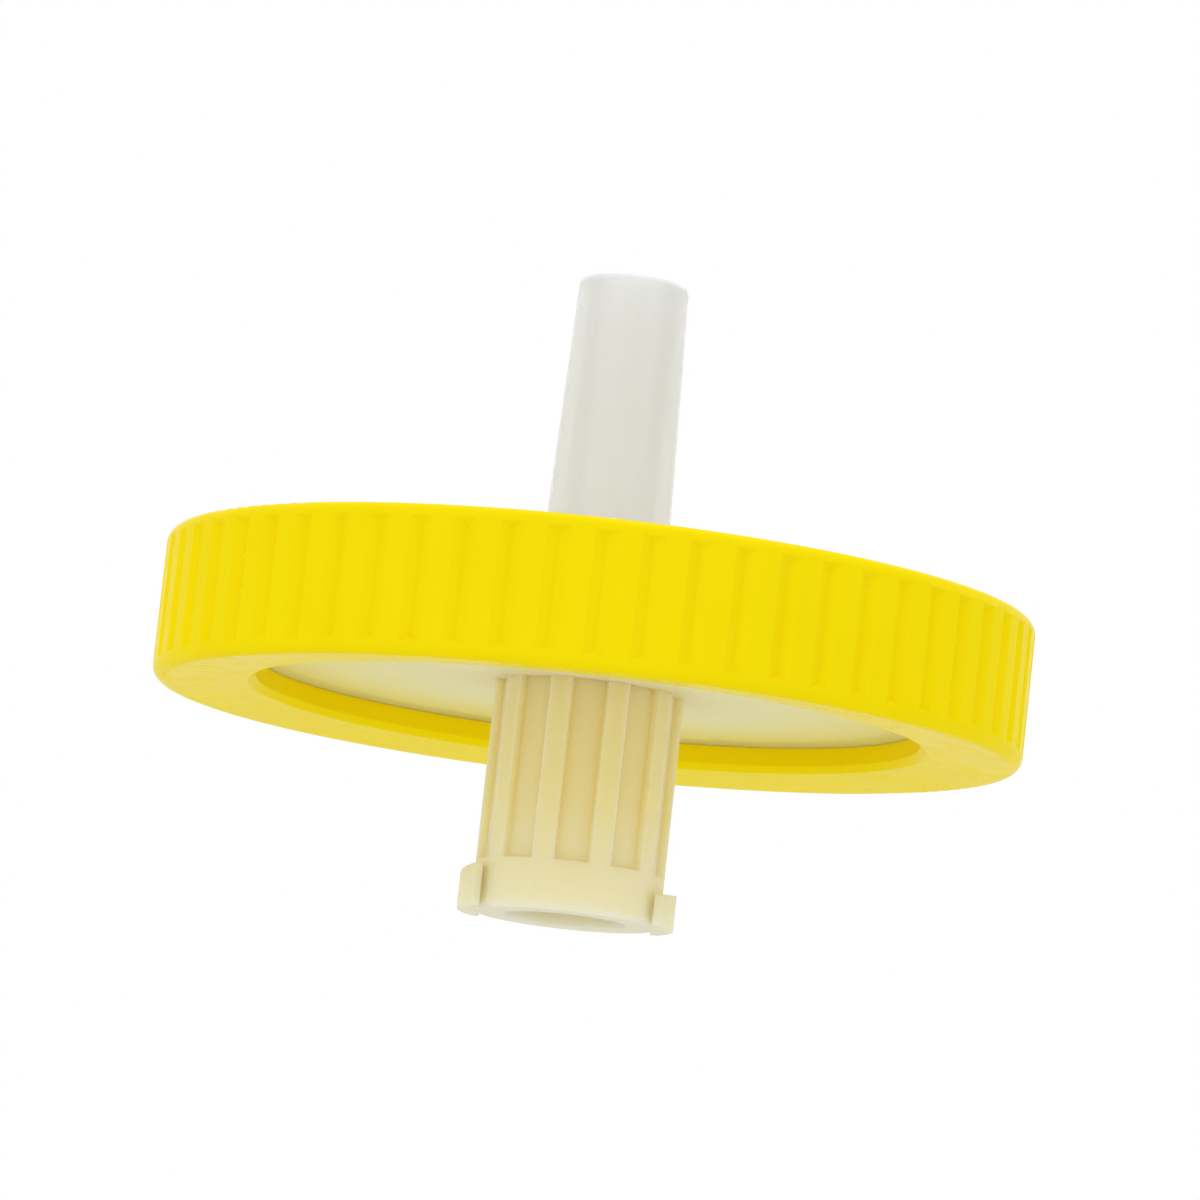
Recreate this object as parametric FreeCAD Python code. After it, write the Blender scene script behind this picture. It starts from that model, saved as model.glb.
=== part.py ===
import FreeCAD, Part
import math
import os

# Disc syringe filter, nominal 25 mm membrane.
# Frame: millimetres, +Z is the flow direction, from the female Luer inlet (bottom)
# to the male Luer outlet (top). The origin is the centre of the inlet's end face,
# on which the filter stands.

# --- reach of the two connections past the rim ring ---
INLET_REACH = 7.0          # inlet end face to the underside of the rim ring
OUTLET_REACH = 10.9        # top of the rim ring to the outlet tip

# --- membrane and the chamber round it ---
MEMBRANE_D = 25.0
MEMBRANE_THICKNESS = 0.15
CLAMP_WIDTH = 1.2          # edge of the membrane that the halves clamp
INLET_GAP = 0.3            # chamber height under the membrane
OUTLET_GAP = 0.3           # chamber height over the membrane, spanned by the support ribs
SUPPORT_RIB_WIDTH = 0.5
SUPPORT_RIB_PITCH = 2.0
DRAIN_SLOT_WIDTH = 0.9
DRAIN_SLOT_COUNT = 8
SPREADER_RIB_COUNT = 8     # inlet-side ribs that spread the flow
SPREADER_RIB_HEIGHT = 0.2
SPREADER_RIB_WIDTH = 0.5
SPREADER_RIB_START = 1.2   # from the throat's wall to the ribs' inner ends
SPREADER_RIB_END = 0.8     # from the ribs' outer ends to the chamber wall

# --- housing halves ---
WELD_WIDTH = 1.1           # from the membrane's edge to the housing's edge
INLET_WALL = 1.1
OUTLET_WALL = 0.85
BEVEL_WIDTH = 0.5          # bevel round each face, rising to the ring's lip
BEVEL_HEIGHT = 0.15

# --- rim ring, moulded over the edge of both housing halves ---
RING_WALL = 2.08           # from the housing's edge to the grip's crests
RING_LIP = 1.6             # overlap of each lip on the housing's edge
INLET_RECESS = 1.35        # ring's underside up to the inlet face
OUTLET_RECESS = 1.35       # ring's top down to the outlet face
RING_SHOULDER = 0.45       # rounding of the outer edges
RING_DISH = 0.3            # fall of each lip face from the outer edge to the opening
LIP_CHAMFER = 0.25         # chamfer of the lips' inner edges
GRIP_GROOVE_COUNT = 60
GRIP_DEPTH = 0.22
GRIP_HALF_ANGLE_DEG = 62   # from a groove's middle plane to each of its sides
GRIP_MARGIN = 0.05         # plain wall left between the grooves and each rounded edge

# --- female Luer lock inlet ---
LUER_TAPER = 0.06          # change of diameter over length
SOCKET_MOUTH_D = 4.3
SOCKET_DEPTH = 8.0
THROAT_D = 2.4
STEM_D = 6.8               # across the stem's ribs, and across the plain band at its mouth
STEM_BAND = 0.5            # plain band above the lugs
STEM_RIB_COUNT = 10
STEM_RIB_WIDTH = 0.8
STEM_RIB_DEPTH = 0.3
MOUTH_CHAMFER = 0.15
LUG_SPAN = 7.8             # across both lugs
LUG_WIDTH = 3.9
LUG_HEIGHT = 1.3
LUG_LEAD_DEG = 6.5         # slope of the lugs' upper faces

# --- male Luer slip outlet ---
TIP_D = 3.95
TIP_ROUND = 0.3
OUTLET_BORE_D = 2.2
COLLAR_D = 6.2
COLLAR_HEIGHT = 1.8
COLLAR_ROUND = 0.3
TUBE_FOOT_FILLET = 0.25

# --- fits ---
BOND_GAP = 0.02            # ring to housing, where the ring is moulded on
MEMBRANE_EDGE_GAP = 0.05   # membrane's edge to the wall of its pocket

# --- derived heights and radii ---
RING_BOTTOM = INLET_REACH
INLET_FACE = RING_BOTTOM + INLET_RECESS
INLET_FLOOR = INLET_FACE + INLET_WALL
PARTING = INLET_FLOOR + INLET_GAP
MEMBRANE_TOP = PARTING + MEMBRANE_THICKNESS
OUTLET_FLOOR = MEMBRANE_TOP + OUTLET_GAP
OUTLET_FACE = OUTLET_FLOOR + OUTLET_WALL
RING_TOP = OUTLET_FACE + OUTLET_RECESS
TIP_TOP = RING_TOP + OUTLET_REACH
MEMBRANE_R = MEMBRANE_D / 2
CHAMBER_R = MEMBRANE_R - CLAMP_WIDTH
HOUSING_R = MEMBRANE_R + WELD_WIDTH
RING_SEAT_R = HOUSING_R + BOND_GAP
RING_R = RING_SEAT_R + RING_WALL
OPENING_R = HOUSING_R - RING_LIP
BEVEL_R = OPENING_R - BOND_GAP
SOCKET_FLOOR_R = (SOCKET_MOUTH_D - LUER_TAPER * SOCKET_DEPTH) / 2
STEM_R = STEM_D / 2
STEM_CORE_R = STEM_R - STEM_RIB_DEPTH
BAND_TOP = LUG_HEIGHT + STEM_BAND
COLLAR_TOP = OUTLET_FACE + COLLAR_HEIGHT
TUBE_BASE_R = (TIP_D + LUER_TAPER * (TIP_TOP - COLLAR_TOP)) / 2
ORIGIN = FreeCAD.Vector(0, 0, 0)
UP = FreeCAD.Vector(0, 0, 1)


def rounded_corner(before, corner, after, radius):
    """Start, middle and end of the arc of this radius that rounds a corner of a section."""
    to_before = (before - corner).normalize()
    to_after = (after - corner).normalize()
    half_angle = to_before.getAngle(to_after) / 2
    run = radius / math.tan(half_angle)
    inward = (to_before + to_after).normalize()
    centre = corner + inward * (radius / math.sin(half_angle))
    return corner + to_before * run, centre - inward * radius, corner + to_after * run


def turned(corners):
    """A solid of revolution about Z from (radius, height, rounding) corners of its half section."""
    points = [FreeCAD.Vector(radius, 0, height) for radius, height, _ in corners]
    stops = []
    for i, (_, _, rounding) in enumerate(corners):
        if rounding > 0:
            stops.append(rounded_corner(points[i - 1], points[i], points[(i + 1) % len(points)], rounding))
        else:
            stops.append((points[i],))
    edges = []
    for i, stop in enumerate(stops):
        if len(stop) == 3:
            edges.append(Part.Arc(*stop).toShape())
        edges.append(Part.makeLine(stop[-1], stops[(i + 1) % len(stops)][0]))
    return Part.Face(Part.Wire(edges)).revolve(ORIGIN, UP, 360)


def around(shape, count, first_deg=0.0):
    """Equally spaced copies of a shape about the Z axis."""
    copies = []
    for i in range(count):
        copy = shape.copy()
        copy.rotate(ORIGIN, UP, first_deg + 360.0 * i / count)
        copies.append(copy)
    return copies


def box(x0, x1, width, z0, z1):
    """A block from x0 to x1 and z0 to z1, centred on the XZ plane."""
    return Part.makeBox(x1 - x0, width, z1 - z0, FreeCAD.Vector(x0, -width / 2, z0))


def face_edge(face, side):
    """Section corners of a face's edge, outwards: bevel, then the seat of the ring's lip.

    side is -1 where the face looks down and 1 where it looks up.
    """
    return [
        (BEVEL_R - BEVEL_WIDTH, face, 0),
        (BEVEL_R, face + side * BEVEL_HEIGHT, 0),
        (BEVEL_R, face, 0),
        (HOUSING_R, face, 0),
    ]


def lug():
    """One of the two locking lugs at the inlet's mouth, with a sloped upper face like a thread's."""
    slope_rise = LUG_WIDTH / 2 * math.tan(math.radians(LUG_LEAD_DEG))
    tall = LUG_HEIGHT + slope_rise
    disc = Part.makeCylinder(LUG_SPAN / 2, tall)
    blank = disc.common(box(STEM_CORE_R, LUG_SPAN, LUG_WIDTH, 0, tall))
    cutter = box(0, LUG_SPAN, 2 * LUG_SPAN, LUG_HEIGHT, LUG_HEIGHT + LUG_SPAN)
    cutter.rotate(FreeCAD.Vector(0, 0, LUG_HEIGHT), FreeCAD.Vector(1, 0, 0), LUG_LEAD_DEG)
    return blank.cut(cutter)


def stem_ribs():
    """Straight ribs along the inlet stem, from its plain band to the disc."""
    crest = Part.makeCylinder(STEM_R, INLET_FACE - BAND_TOP, FreeCAD.Vector(0, 0, BAND_TOP))
    bar = box(STEM_CORE_R - STEM_RIB_DEPTH, STEM_D, STEM_RIB_WIDTH, BAND_TOP, INLET_FACE)
    return crest.common(around(bar, STEM_RIB_COUNT)).Solids


def inlet_half():
    """Lower housing half: disc, ribbed stem and female Luer lock socket, moulded as one."""
    throat_r = THROAT_D / 2
    body = turned(
        [
            (throat_r, INLET_FLOOR, 0),
            (throat_r, SOCKET_DEPTH, 0),
            (SOCKET_FLOOR_R, SOCKET_DEPTH, 0),
            (SOCKET_MOUTH_D / 2, 0, 0),
            (STEM_R - MOUTH_CHAMFER, 0, 0),
            (STEM_R, MOUTH_CHAMFER, 0),
            (STEM_R, BAND_TOP, 0),
            (STEM_CORE_R, BAND_TOP, 0),
            (STEM_CORE_R, INLET_FACE, 0),
            *face_edge(INLET_FACE, -1),
            (HOUSING_R, PARTING, 0),
            (CHAMBER_R, PARTING, 0),
            (CHAMBER_R, INLET_FLOOR, 0),
        ]
    )
    rib_start = throat_r + SPREADER_RIB_START
    rib_end = CHAMBER_R - SPREADER_RIB_END
    rib = box(rib_start, rib_end, SPREADER_RIB_WIDTH, INLET_FLOOR, INLET_FLOOR + SPREADER_RIB_HEIGHT)
    return body.fuse([*around(lug(), 2), *stem_ribs(), *around(rib, SPREADER_RIB_COUNT)])


def support_ribs():
    """Concentric ribs that carry the membrane, broken by radial drain slots."""
    base = FreeCAD.Vector(0, 0, MEMBRANE_TOP)
    rings = []
    radius = OUTLET_BORE_D / 2 + SUPPORT_RIB_PITCH
    while radius + 2 * SUPPORT_RIB_WIDTH < CHAMBER_R:
        outer = Part.makeCylinder(radius + SUPPORT_RIB_WIDTH, OUTLET_GAP, base)
        rings.append(outer.cut(Part.makeCylinder(radius, OUTLET_GAP, base)))
        radius += SUPPORT_RIB_PITCH
    slot = box(0, CHAMBER_R, DRAIN_SLOT_WIDTH, MEMBRANE_TOP, OUTLET_FLOOR)
    return Part.makeCompound(rings).cut(around(slot, DRAIN_SLOT_COUNT)).Solids


def outlet_half():
    """Upper housing half: disc, collar and male Luer slip tube, moulded as one."""
    bore_r = OUTLET_BORE_D / 2
    collar_r = COLLAR_D / 2
    pocket_r = MEMBRANE_R + MEMBRANE_EDGE_GAP
    body = turned(
        [
            (bore_r, OUTLET_FLOOR, 0),
            (CHAMBER_R, OUTLET_FLOOR, 0),
            (CHAMBER_R, MEMBRANE_TOP, 0),
            (pocket_r, MEMBRANE_TOP, 0),
            (pocket_r, PARTING, 0),
            (HOUSING_R, PARTING, 0),
            *reversed(face_edge(OUTLET_FACE, 1)),
            (collar_r, OUTLET_FACE, 0),
            (collar_r, COLLAR_TOP, COLLAR_ROUND),
            (TUBE_BASE_R, COLLAR_TOP, TUBE_FOOT_FILLET),
            (TIP_D / 2, TIP_TOP, TIP_ROUND),
            (bore_r, TIP_TOP, 0),
        ]
    )
    return body.fuse(support_ribs())


def membrane():
    """The filter membrane, clamped at its edge between the housing halves."""
    return Part.makeCylinder(MEMBRANE_R, MEMBRANE_THICKNESS, FreeCAD.Vector(0, 0, PARTING))


def grip_cutter():
    """A roof-shaped bar that cuts one V groove with sloped ends across the ring's outer wall."""
    wall = RING_TOP - RING_BOTTOM - 2 * (RING_SHOULDER + GRIP_MARGIN)
    rise = 2 * GRIP_DEPTH
    half_width = rise * math.tan(math.radians(GRIP_HALF_ANGLE_DEG))
    length = wall / 2 + rise - GRIP_DEPTH
    ridge = length - rise
    roof = Part.makeWedge(-half_width, 0, -length, -ridge, 0, half_width, rise, length, ridge, 0)
    roof.rotate(ORIGIN, UP, 90)
    roof.translate(FreeCAD.Vector(RING_R - GRIP_DEPTH + rise, 0, (RING_BOTTOM + RING_TOP) / 2))
    return roof


def rim_ring():
    """The coloured ring that binds the two halves, with fine grip grooves round its edge."""
    low_seat = INLET_FACE - BOND_GAP
    high_seat = OUTLET_FACE + BOND_GAP
    low_edge = RING_BOTTOM + RING_DISH
    high_edge = RING_TOP - RING_DISH
    body = turned(
        [
            (OPENING_R, low_edge + LIP_CHAMFER, 0),
            (OPENING_R + LIP_CHAMFER, low_edge, 0),
            (RING_R, RING_BOTTOM, RING_SHOULDER),
            (RING_R, RING_TOP, RING_SHOULDER),
            (OPENING_R + LIP_CHAMFER, high_edge, 0),
            (OPENING_R, high_edge - LIP_CHAMFER, 0),
            (OPENING_R, high_seat, 0),
            (RING_SEAT_R, high_seat, 0),
            (RING_SEAT_R, low_seat, 0),
            (OPENING_R, low_seat, 0),
        ]
    )
    return body.cut(around(grip_cutter(), GRIP_GROOVE_COUNT))


PIECES = {
    "inlet_half": inlet_half,
    "outlet_half": outlet_half,
    "membrane": membrane,
    "rim_ring": rim_ring,
}

os.makedirs("parts", exist_ok=True)
for name, make in PIECES.items():
    made = make().removeSplitter()
    solids = made.Solids
    print(name, "solids", len(solids), "valid", made.isValid(), "volume", round(made.Volume, 3))
    (solids[0] if len(solids) == 1 else made).exportStep("parts/" + name + ".step")
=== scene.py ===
import bpy
import math
from mathutils import Matrix, Vector


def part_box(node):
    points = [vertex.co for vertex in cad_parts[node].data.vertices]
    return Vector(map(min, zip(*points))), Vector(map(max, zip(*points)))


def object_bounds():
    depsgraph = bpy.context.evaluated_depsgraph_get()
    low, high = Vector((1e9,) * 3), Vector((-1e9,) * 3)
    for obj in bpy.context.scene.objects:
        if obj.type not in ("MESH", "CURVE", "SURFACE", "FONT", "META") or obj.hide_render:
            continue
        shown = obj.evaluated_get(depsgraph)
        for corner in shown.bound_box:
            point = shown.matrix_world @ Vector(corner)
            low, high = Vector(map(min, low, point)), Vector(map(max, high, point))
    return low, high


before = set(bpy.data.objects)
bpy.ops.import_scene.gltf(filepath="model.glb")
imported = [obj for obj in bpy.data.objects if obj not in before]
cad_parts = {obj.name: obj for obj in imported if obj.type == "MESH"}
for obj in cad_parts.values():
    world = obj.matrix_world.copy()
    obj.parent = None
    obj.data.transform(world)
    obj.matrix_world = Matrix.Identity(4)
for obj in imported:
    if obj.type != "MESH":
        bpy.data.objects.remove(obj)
CAD_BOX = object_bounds()
scene = bpy.context.scene
MM = 0.001

# --- where the paint of the natural plastic changes: radii and heights, in millimetres ---
RING_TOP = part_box("rim_ring")[1].z
RING_TINT_AND_BOUNCE_FADE = (5.0, 11.5)  # radii over which a disc's face turns more yellow towards the ring: partly the ring showing through, partly painted yellow bounce light from the ring
STEM_TO_DISC = (3.2, 5.0)  # radii from the inlet's stem to its disc
STEM_BOUNCE_FADE = (5.0, 0.2)  # heights over which the stem's painted yellow bounce light from the ring fades paler, down to its mouth
TUBE_TO_DISC = (3.2, 4.0)  # radii from the outlet's tube to its disc
FOOT_BOUNCE_FADE = (RING_TOP / MM + 2.2, RING_TOP / MM + 0.4)  # heights over which the tube turns warm: painted yellow bounce light from the ring at its foot
CLEAR_TO_MILKY = (2.4, 3.2)  # radii from the clear tube to the milky collar

# --- transmission weights ---
INLET_CLEARNESS = 0.1
TUBE_CLEARNESS = 0.3
FACE_CLEARNESS = 0.08


# --- node trees ---
NOISE_SPAN = (0.3, 0.7)  # most of a noise texture's values lie in here


class Tree:
    """A node tree that grows node by node; an input given as a socket is linked, any other is set."""

    def __init__(self, node_tree):
        self.tree = node_tree
        self.tree.nodes.clear()

    def feed(self, socket, value):
        if isinstance(value, bpy.types.NodeSocket):
            self.tree.links.new(value, socket)
        else:
            socket.default_value = value

    def add(self, kind, inputs=None, **settings):
        node = self.tree.nodes.new(kind)
        for name, value in settings.items():
            setattr(node, name, value)
        for name, value in (inputs or {}).items():
            self.feed(node.inputs[name], value)
        return node

    def math(self, operation, *values):
        node = self.add("ShaderNodeMath", dict(enumerate(values)), operation=operation)
        return node.outputs[0]

    def ramp(self, value, start, end, low=0.0, high=1.0):
        """A smooth change from low to high as the value goes from start to end."""
        inputs = {"Value": value, "From Min": start, "From Max": end, "To Min": low, "To Max": high}
        return self.add("ShaderNodeMapRange", inputs, interpolation_type="SMOOTHSTEP").outputs[0]

    def mix(self, factor, first, second):
        """A mix of two colours; in a Mix node of colours these are the sockets 0, 6, 7 and 2."""
        node = self.add("ShaderNodeMix", data_type="RGBA")
        for socket, value in ((0, factor), (6, first), (7, second)):
            self.feed(node.inputs[socket], value)
        return node.outputs[2]

    def noise(self, where, scale, detail, roughness=0.5):
        inputs = {"Vector": where, "Scale": scale, "Detail": detail, "Roughness": roughness}
        return self.add("ShaderNodeTexNoise", inputs).outputs[0]

    def wander(self, where, scale, detail, low, high):
        """A value that wanders between low and high over the surface."""
        return self.ramp(self.noise(where, scale, detail), *NOISE_SPAN, low, high)

    def millimetres(self):
        """Object coordinates in millimetres."""
        place = self.add("ShaderNodeTexCoord").outputs["Object"]
        return self.add("ShaderNodeVectorMath", {0: place, "Scale": 1 / MM}, operation="SCALE").outputs[0]

    def cylinder(self, place):
        """The radius and the height of a place."""
        height = self.add("ShaderNodeSeparateXYZ", {0: place}).outputs[2]
        flat = self.add("ShaderNodeVectorMath", {0: place, 1: (1, 1, 0)}, operation="MULTIPLY").outputs[0]
        radius = self.add("ShaderNodeVectorMath", {0: flat}, operation="LENGTH").outputs["Value"]
        return radius, height

    def bump(self, height, strength, distance, under=None):
        inputs = {"Height": height, "Strength": strength, "Distance": distance}
        if under is not None:
            inputs["Normal"] = under
        return self.add("ShaderNodeBump", inputs).outputs[0]


def new_material(name):
    material = bpy.data.materials.new(name)
    material.use_nodes = True
    return material, Tree(material.node_tree)


def surface(tree, **inputs):
    """The Principled surface of a material; names with spaces are written with underscores."""
    named = {name.replace("_", " "): value for name, value in inputs.items()}
    shader = tree.add("ShaderNodeBsdfPrincipled", named)
    tree.add("ShaderNodeOutputMaterial", {"Surface": shader.outputs[0]})


def yellow_polypropylene():
    """Satin yellow moulding with soft clouds in its colour, slight waves and the fine skin of its mould."""
    material, tree = new_material("yellow_polypropylene")
    place = tree.millimetres()
    cloud = tree.noise(place, scale=0.22, detail=3.0)
    skin = tree.noise(place, scale=9.0, detail=3.0, roughness=0.6)
    waves = tree.noise(place, scale=0.5, detail=2.0)
    skin_normal = tree.bump(skin, strength=0.04, distance=0.0005 * MM)
    surface(
        tree,
        Base_Color=tree.mix(cloud, (0.92, 0.72, 0.002, 1), (0.97, 0.79, 0.003, 1)),
        Roughness=tree.wander(place, scale=1.6, detail=4.0, low=0.20, high=0.30),
        IOR=1.49,
        Specular_IOR_Level=0.01,
        Normal=tree.bump(waves, strength=0.2, distance=0.015 * MM, under=skin_normal),
    )
    return material


def natural_polypropylene(name, look_of, low_roughness, high_roughness):
    """Translucent natural plastic; look_of gives its colour and clearness from the tree and the place."""
    material, tree = new_material(name)
    place = tree.millimetres()
    skin = tree.noise(place, scale=5.0, detail=2.0)
    colour, clearness = look_of(tree, place)
    surface(
        tree,
        Base_Color=colour,
        Roughness=tree.wander(place, scale=0.8, detail=3.0, low=low_roughness, high=high_roughness),
        IOR=1.49,
        Specular_IOR_Level=0.1,
        Transmission_Weight=clearness,
        Subsurface_Weight=1.0,
        Subsurface_Radius=(1.0, 0.98, 0.92),
        Subsurface_Scale=1.0 * MM,
        Normal=tree.bump(skin, strength=0.05, distance=0.002 * MM),
    )
    return material


def face_colour(tree, radius, face, rim):
    """A disc's face, more yellow towards the ring: partly the ring's colour showing through, partly painted
    yellow bounce light from the ring.
    """
    return tree.mix(tree.ramp(radius, *RING_TINT_AND_BOUNCE_FADE), face, rim)


def inlet_look(tree, place):
    """Cream stem, paler to its mouth, under a cream disc: the cream is painted yellow bounce light and
    reflection from the ring.
    """
    radius, height = tree.cylinder(place)
    cloud = tree.noise(place, scale=0.35, detail=3.0)
    # cream near the ring is painted yellow bounce light from the ring, also made light enough to cover the
    # ring's shade on the stem's top
    cream = tree.mix(cloud, (0.94, 0.81, 0.42, 1), (0.96, 0.84, 0.50, 1))
    pale = tree.mix(cloud, (0.90, 0.85, 0.60, 1), (0.93, 0.88, 0.67, 1))
    stem = tree.mix(tree.ramp(height, *STEM_BOUNCE_FADE), cream, pale)
    # the disc's face is painted cream-yellow for the ring's yellow reflection and bounce light; the plastic
    # itself is near white
    face = tree.mix(cloud, (0.98, 0.85, 0.40, 1), (0.98, 0.87, 0.46, 1))
    disc = face_colour(tree, radius, face, (0.97, 0.78, 0.22, 1))
    return tree.mix(tree.ramp(radius, *STEM_TO_DISC), stem, disc), INLET_CLEARNESS


def outlet_look(tree, place):
    """Clear grey-white tube, warmer at its foot beside the ring with painted yellow bounce light from it,
    on a near white, milky disc.
    """
    radius, height = tree.cylinder(place)
    cloud = tree.noise(place, scale=0.35, detail=3.0)
    clear = tree.mix(cloud, (0.92, 0.975, 0.985, 1), (0.95, 0.99, 0.995, 1))
    # the warm foot of the tube is painted yellow bounce light from the ring
    tube = tree.mix(tree.ramp(height, *FOOT_BOUNCE_FADE), clear, (0.95, 0.91, 0.74, 1))
    face = tree.mix(cloud, (0.95, 0.92, 0.72, 1), (0.96, 0.94, 0.79, 1))
    disc = face_colour(tree, radius, face, (0.95, 0.87, 0.52, 1))
    colour = tree.mix(tree.ramp(radius, *TUBE_TO_DISC), tube, disc)
    return colour, tree.ramp(radius, *CLEAR_TO_MILKY, TUBE_CLEARNESS, FACE_CLEARNESS)


def membrane_white():
    """Matt white porous film."""
    material, tree = new_material("membrane_white")
    place = tree.millimetres()
    pores = tree.noise(place, scale=14.0, detail=4.0, roughness=0.7)
    cloud = tree.noise(place, scale=0.4, detail=2.0)
    surface(
        tree,
        Base_Color=tree.mix(cloud, (0.86, 0.86, 0.84, 1), (0.92, 0.92, 0.90, 1)),
        Roughness=0.9,
        Specular_IOR_Level=0.2,
        Normal=tree.bump(pores, strength=0.5, distance=0.02 * MM),
    )
    return material


# --- softened edges ---
FLAT_ANGLE_DEG = 0.5  # faces that meet at less than this are one flat
EDGE_ANGLE_DEG = 25  # edges sharper than this are rounded


def smooth_group():
    """Geometry nodes that join a mesh's split corners and shade it smooth."""
    group = bpy.data.node_groups.new("smooth", "GeometryNodeTree")
    group.interface.new_socket("Geometry", in_out="INPUT", socket_type="NodeSocketGeometry")
    group.interface.new_socket("Geometry", in_out="OUTPUT", socket_type="NodeSocketGeometry")
    tree = Tree(group)
    mesh = tree.add("NodeGroupInput").outputs[0]
    mesh = tree.add("GeometryNodeMergeByDistance", {"Geometry": mesh, "Distance": 0.001 * MM}).outputs[0]
    mesh = tree.add("GeometryNodeRemoveAttribute", {"Geometry": mesh, "Name": "custom_normal"}).outputs[0]
    mesh = tree.add("GeometryNodeSetShadeSmooth", {"Geometry": mesh}).outputs[0]
    tree.add("NodeGroupOutput", {0: mesh})
    return group


SMOOTH = smooth_group()


def soften(node, width):
    """Rounds the sharp edges of a CAD node by modifiers and gives the flats their true shading."""
    join = node.modifiers.new("join", "NODES")
    join.node_group = SMOOTH
    flats = node.modifiers.new("flats", "DECIMATE")
    flats.decimate_type = "DISSOLVE"
    flats.angle_limit = math.radians(FLAT_ANGLE_DEG)
    bevel = node.modifiers.new("bevel", "BEVEL")
    bevel.width = width
    bevel.segments = 3
    bevel.limit_method = "ANGLE"
    bevel.angle_limit = math.radians(EDGE_ANGLE_DEG)
    shading = node.modifiers.new("shading", "WEIGHTED_NORMAL")
    shading.weight = 100


def dress(node_name, material, edge):
    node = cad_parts[node_name]
    for slot in node.material_slots:
        slot.material = material
    soften(node, edge)


inlet_plastic = natural_polypropylene("inlet_polypropylene", inlet_look, 0.40, 0.50)
outlet_plastic = natural_polypropylene("outlet_polypropylene", outlet_look, 0.07, 0.17)
dress("rim_ring", yellow_polypropylene(), edge=0.08 * MM)
dress("inlet_half", inlet_plastic, edge=0.06 * MM)
dress("outlet_half", outlet_plastic, edge=0.06 * MM)
dress("membrane", membrane_white(), edge=0.02 * MM)


# --- camera: it looks up at the rim from a little below, and is rolled as the filter leans ---
ELEVATION_DEG = -8.0
ROLL_DEG = 6.3
DISTANCE = 0.30
LENS_MM = 250.0
SENSOR_MM = 36

middle = (CAD_BOX[0] + CAD_BOX[1]) / 2
elevation = math.radians(ELEVATION_DEG)
back = Vector((0, -math.cos(elevation), math.sin(elevation)))
camera_data = bpy.data.cameras.new("camera")
camera_data.lens = LENS_MM
camera_data.sensor_width = SENSOR_MM
camera_data.clip_start = 0.01
camera_data.clip_end = 10
camera = bpy.data.objects.new("camera", camera_data)
scene.collection.objects.link(camera)
camera.matrix_world = (
    Matrix.Translation(middle + back * DISTANCE)
    @ back.to_track_quat("Z", "Y").to_matrix().to_4x4()
    @ Matrix.Rotation(math.radians(ROLL_DEG), 4, "Z")
)
scene.camera = camera


# --- floor: seen from above only, and clear to shadow and bounce rays, which light the underside ---
FLOOR_HALF = 1.5
FLOOR_GAP = 0.05 * MM


def floor():
    data = bpy.data.meshes.new("floor")
    half, height = FLOOR_HALF, CAD_BOX[0].z - FLOOR_GAP
    corners = [(-half, -half, height), (half, -half, height), (half, half, height), (-half, half, height)]
    data.from_pydata(corners, [], [(0, 1, 2, 3)])
    plane = bpy.data.objects.new("floor", data)
    scene.collection.objects.link(plane)
    material, tree = new_material("floor")
    below = tree.add("ShaderNodeNewGeometry").outputs["Backfacing"]
    rays = tree.add("ShaderNodeLightPath").outputs
    light = tree.math("MAXIMUM", rays["Is Shadow Ray"], rays["Is Diffuse Ray"])
    clear_to = tree.math("MAXIMUM", below, light)
    matt = tree.add("ShaderNodeBsdfDiffuse", {"Color": (0.86, 0.86, 0.855, 1)}).outputs[0]
    clear = tree.add("ShaderNodeBsdfTransparent").outputs[0]
    seen = tree.add("ShaderNodeMixShader", {0: clear_to, 1: matt, 2: clear}).outputs[0]
    tree.add("ShaderNodeOutputMaterial", {"Surface": seen})
    data.materials.append(material)


floor()


# --- light ---
def softbox(name, place, size, watts):
    """A square white area lamp that faces the filter."""
    data = bpy.data.lights.new(name, "AREA")
    data.size = size
    data.energy = watts
    lamp = bpy.data.objects.new(name, data)
    scene.collection.objects.link(lamp)
    lamp.location = place
    lamp.rotation_euler = (middle - lamp.location).to_track_quat("-Z", "Y").to_euler()


softbox("key", (-0.35, -0.45, 0.15), size=0.5, watts=0.45)
softbox("fill", (0.50, -0.35, 0.08), size=0.40, watts=0.2)
softbox("top", (0.05, 0.10, 0.60), size=0.40, watts=0.8)
softbox("table", (0.0, -0.15, -0.42), size=0.45, watts=0.05)

# The world is white where it is seen, and a little dimmer as a light.
world = bpy.data.worlds.new("world")
scene.world = world
world.use_nodes = True
sky = Tree(world.node_tree)
rays = sky.add("ShaderNodeLightPath").outputs
shown = sky.math("MAXIMUM", rays["Is Camera Ray"], rays["Is Glossy Ray"])
shown = sky.math("MAXIMUM", shown, rays["Is Transmission Ray"])
ambient = sky.add("ShaderNodeBackground", {"Color": (0.85, 0.85, 0.85, 1)}).outputs[0]
white = sky.add("ShaderNodeBackground", {"Color": (1, 1, 1, 1)}).outputs[0]
background = sky.add("ShaderNodeMixShader", {0: shown, 1: ambient, 2: white}).outputs[0]
sky.add("ShaderNodeOutputWorld", {"Surface": background})

scene.view_settings.view_transform = "Standard"
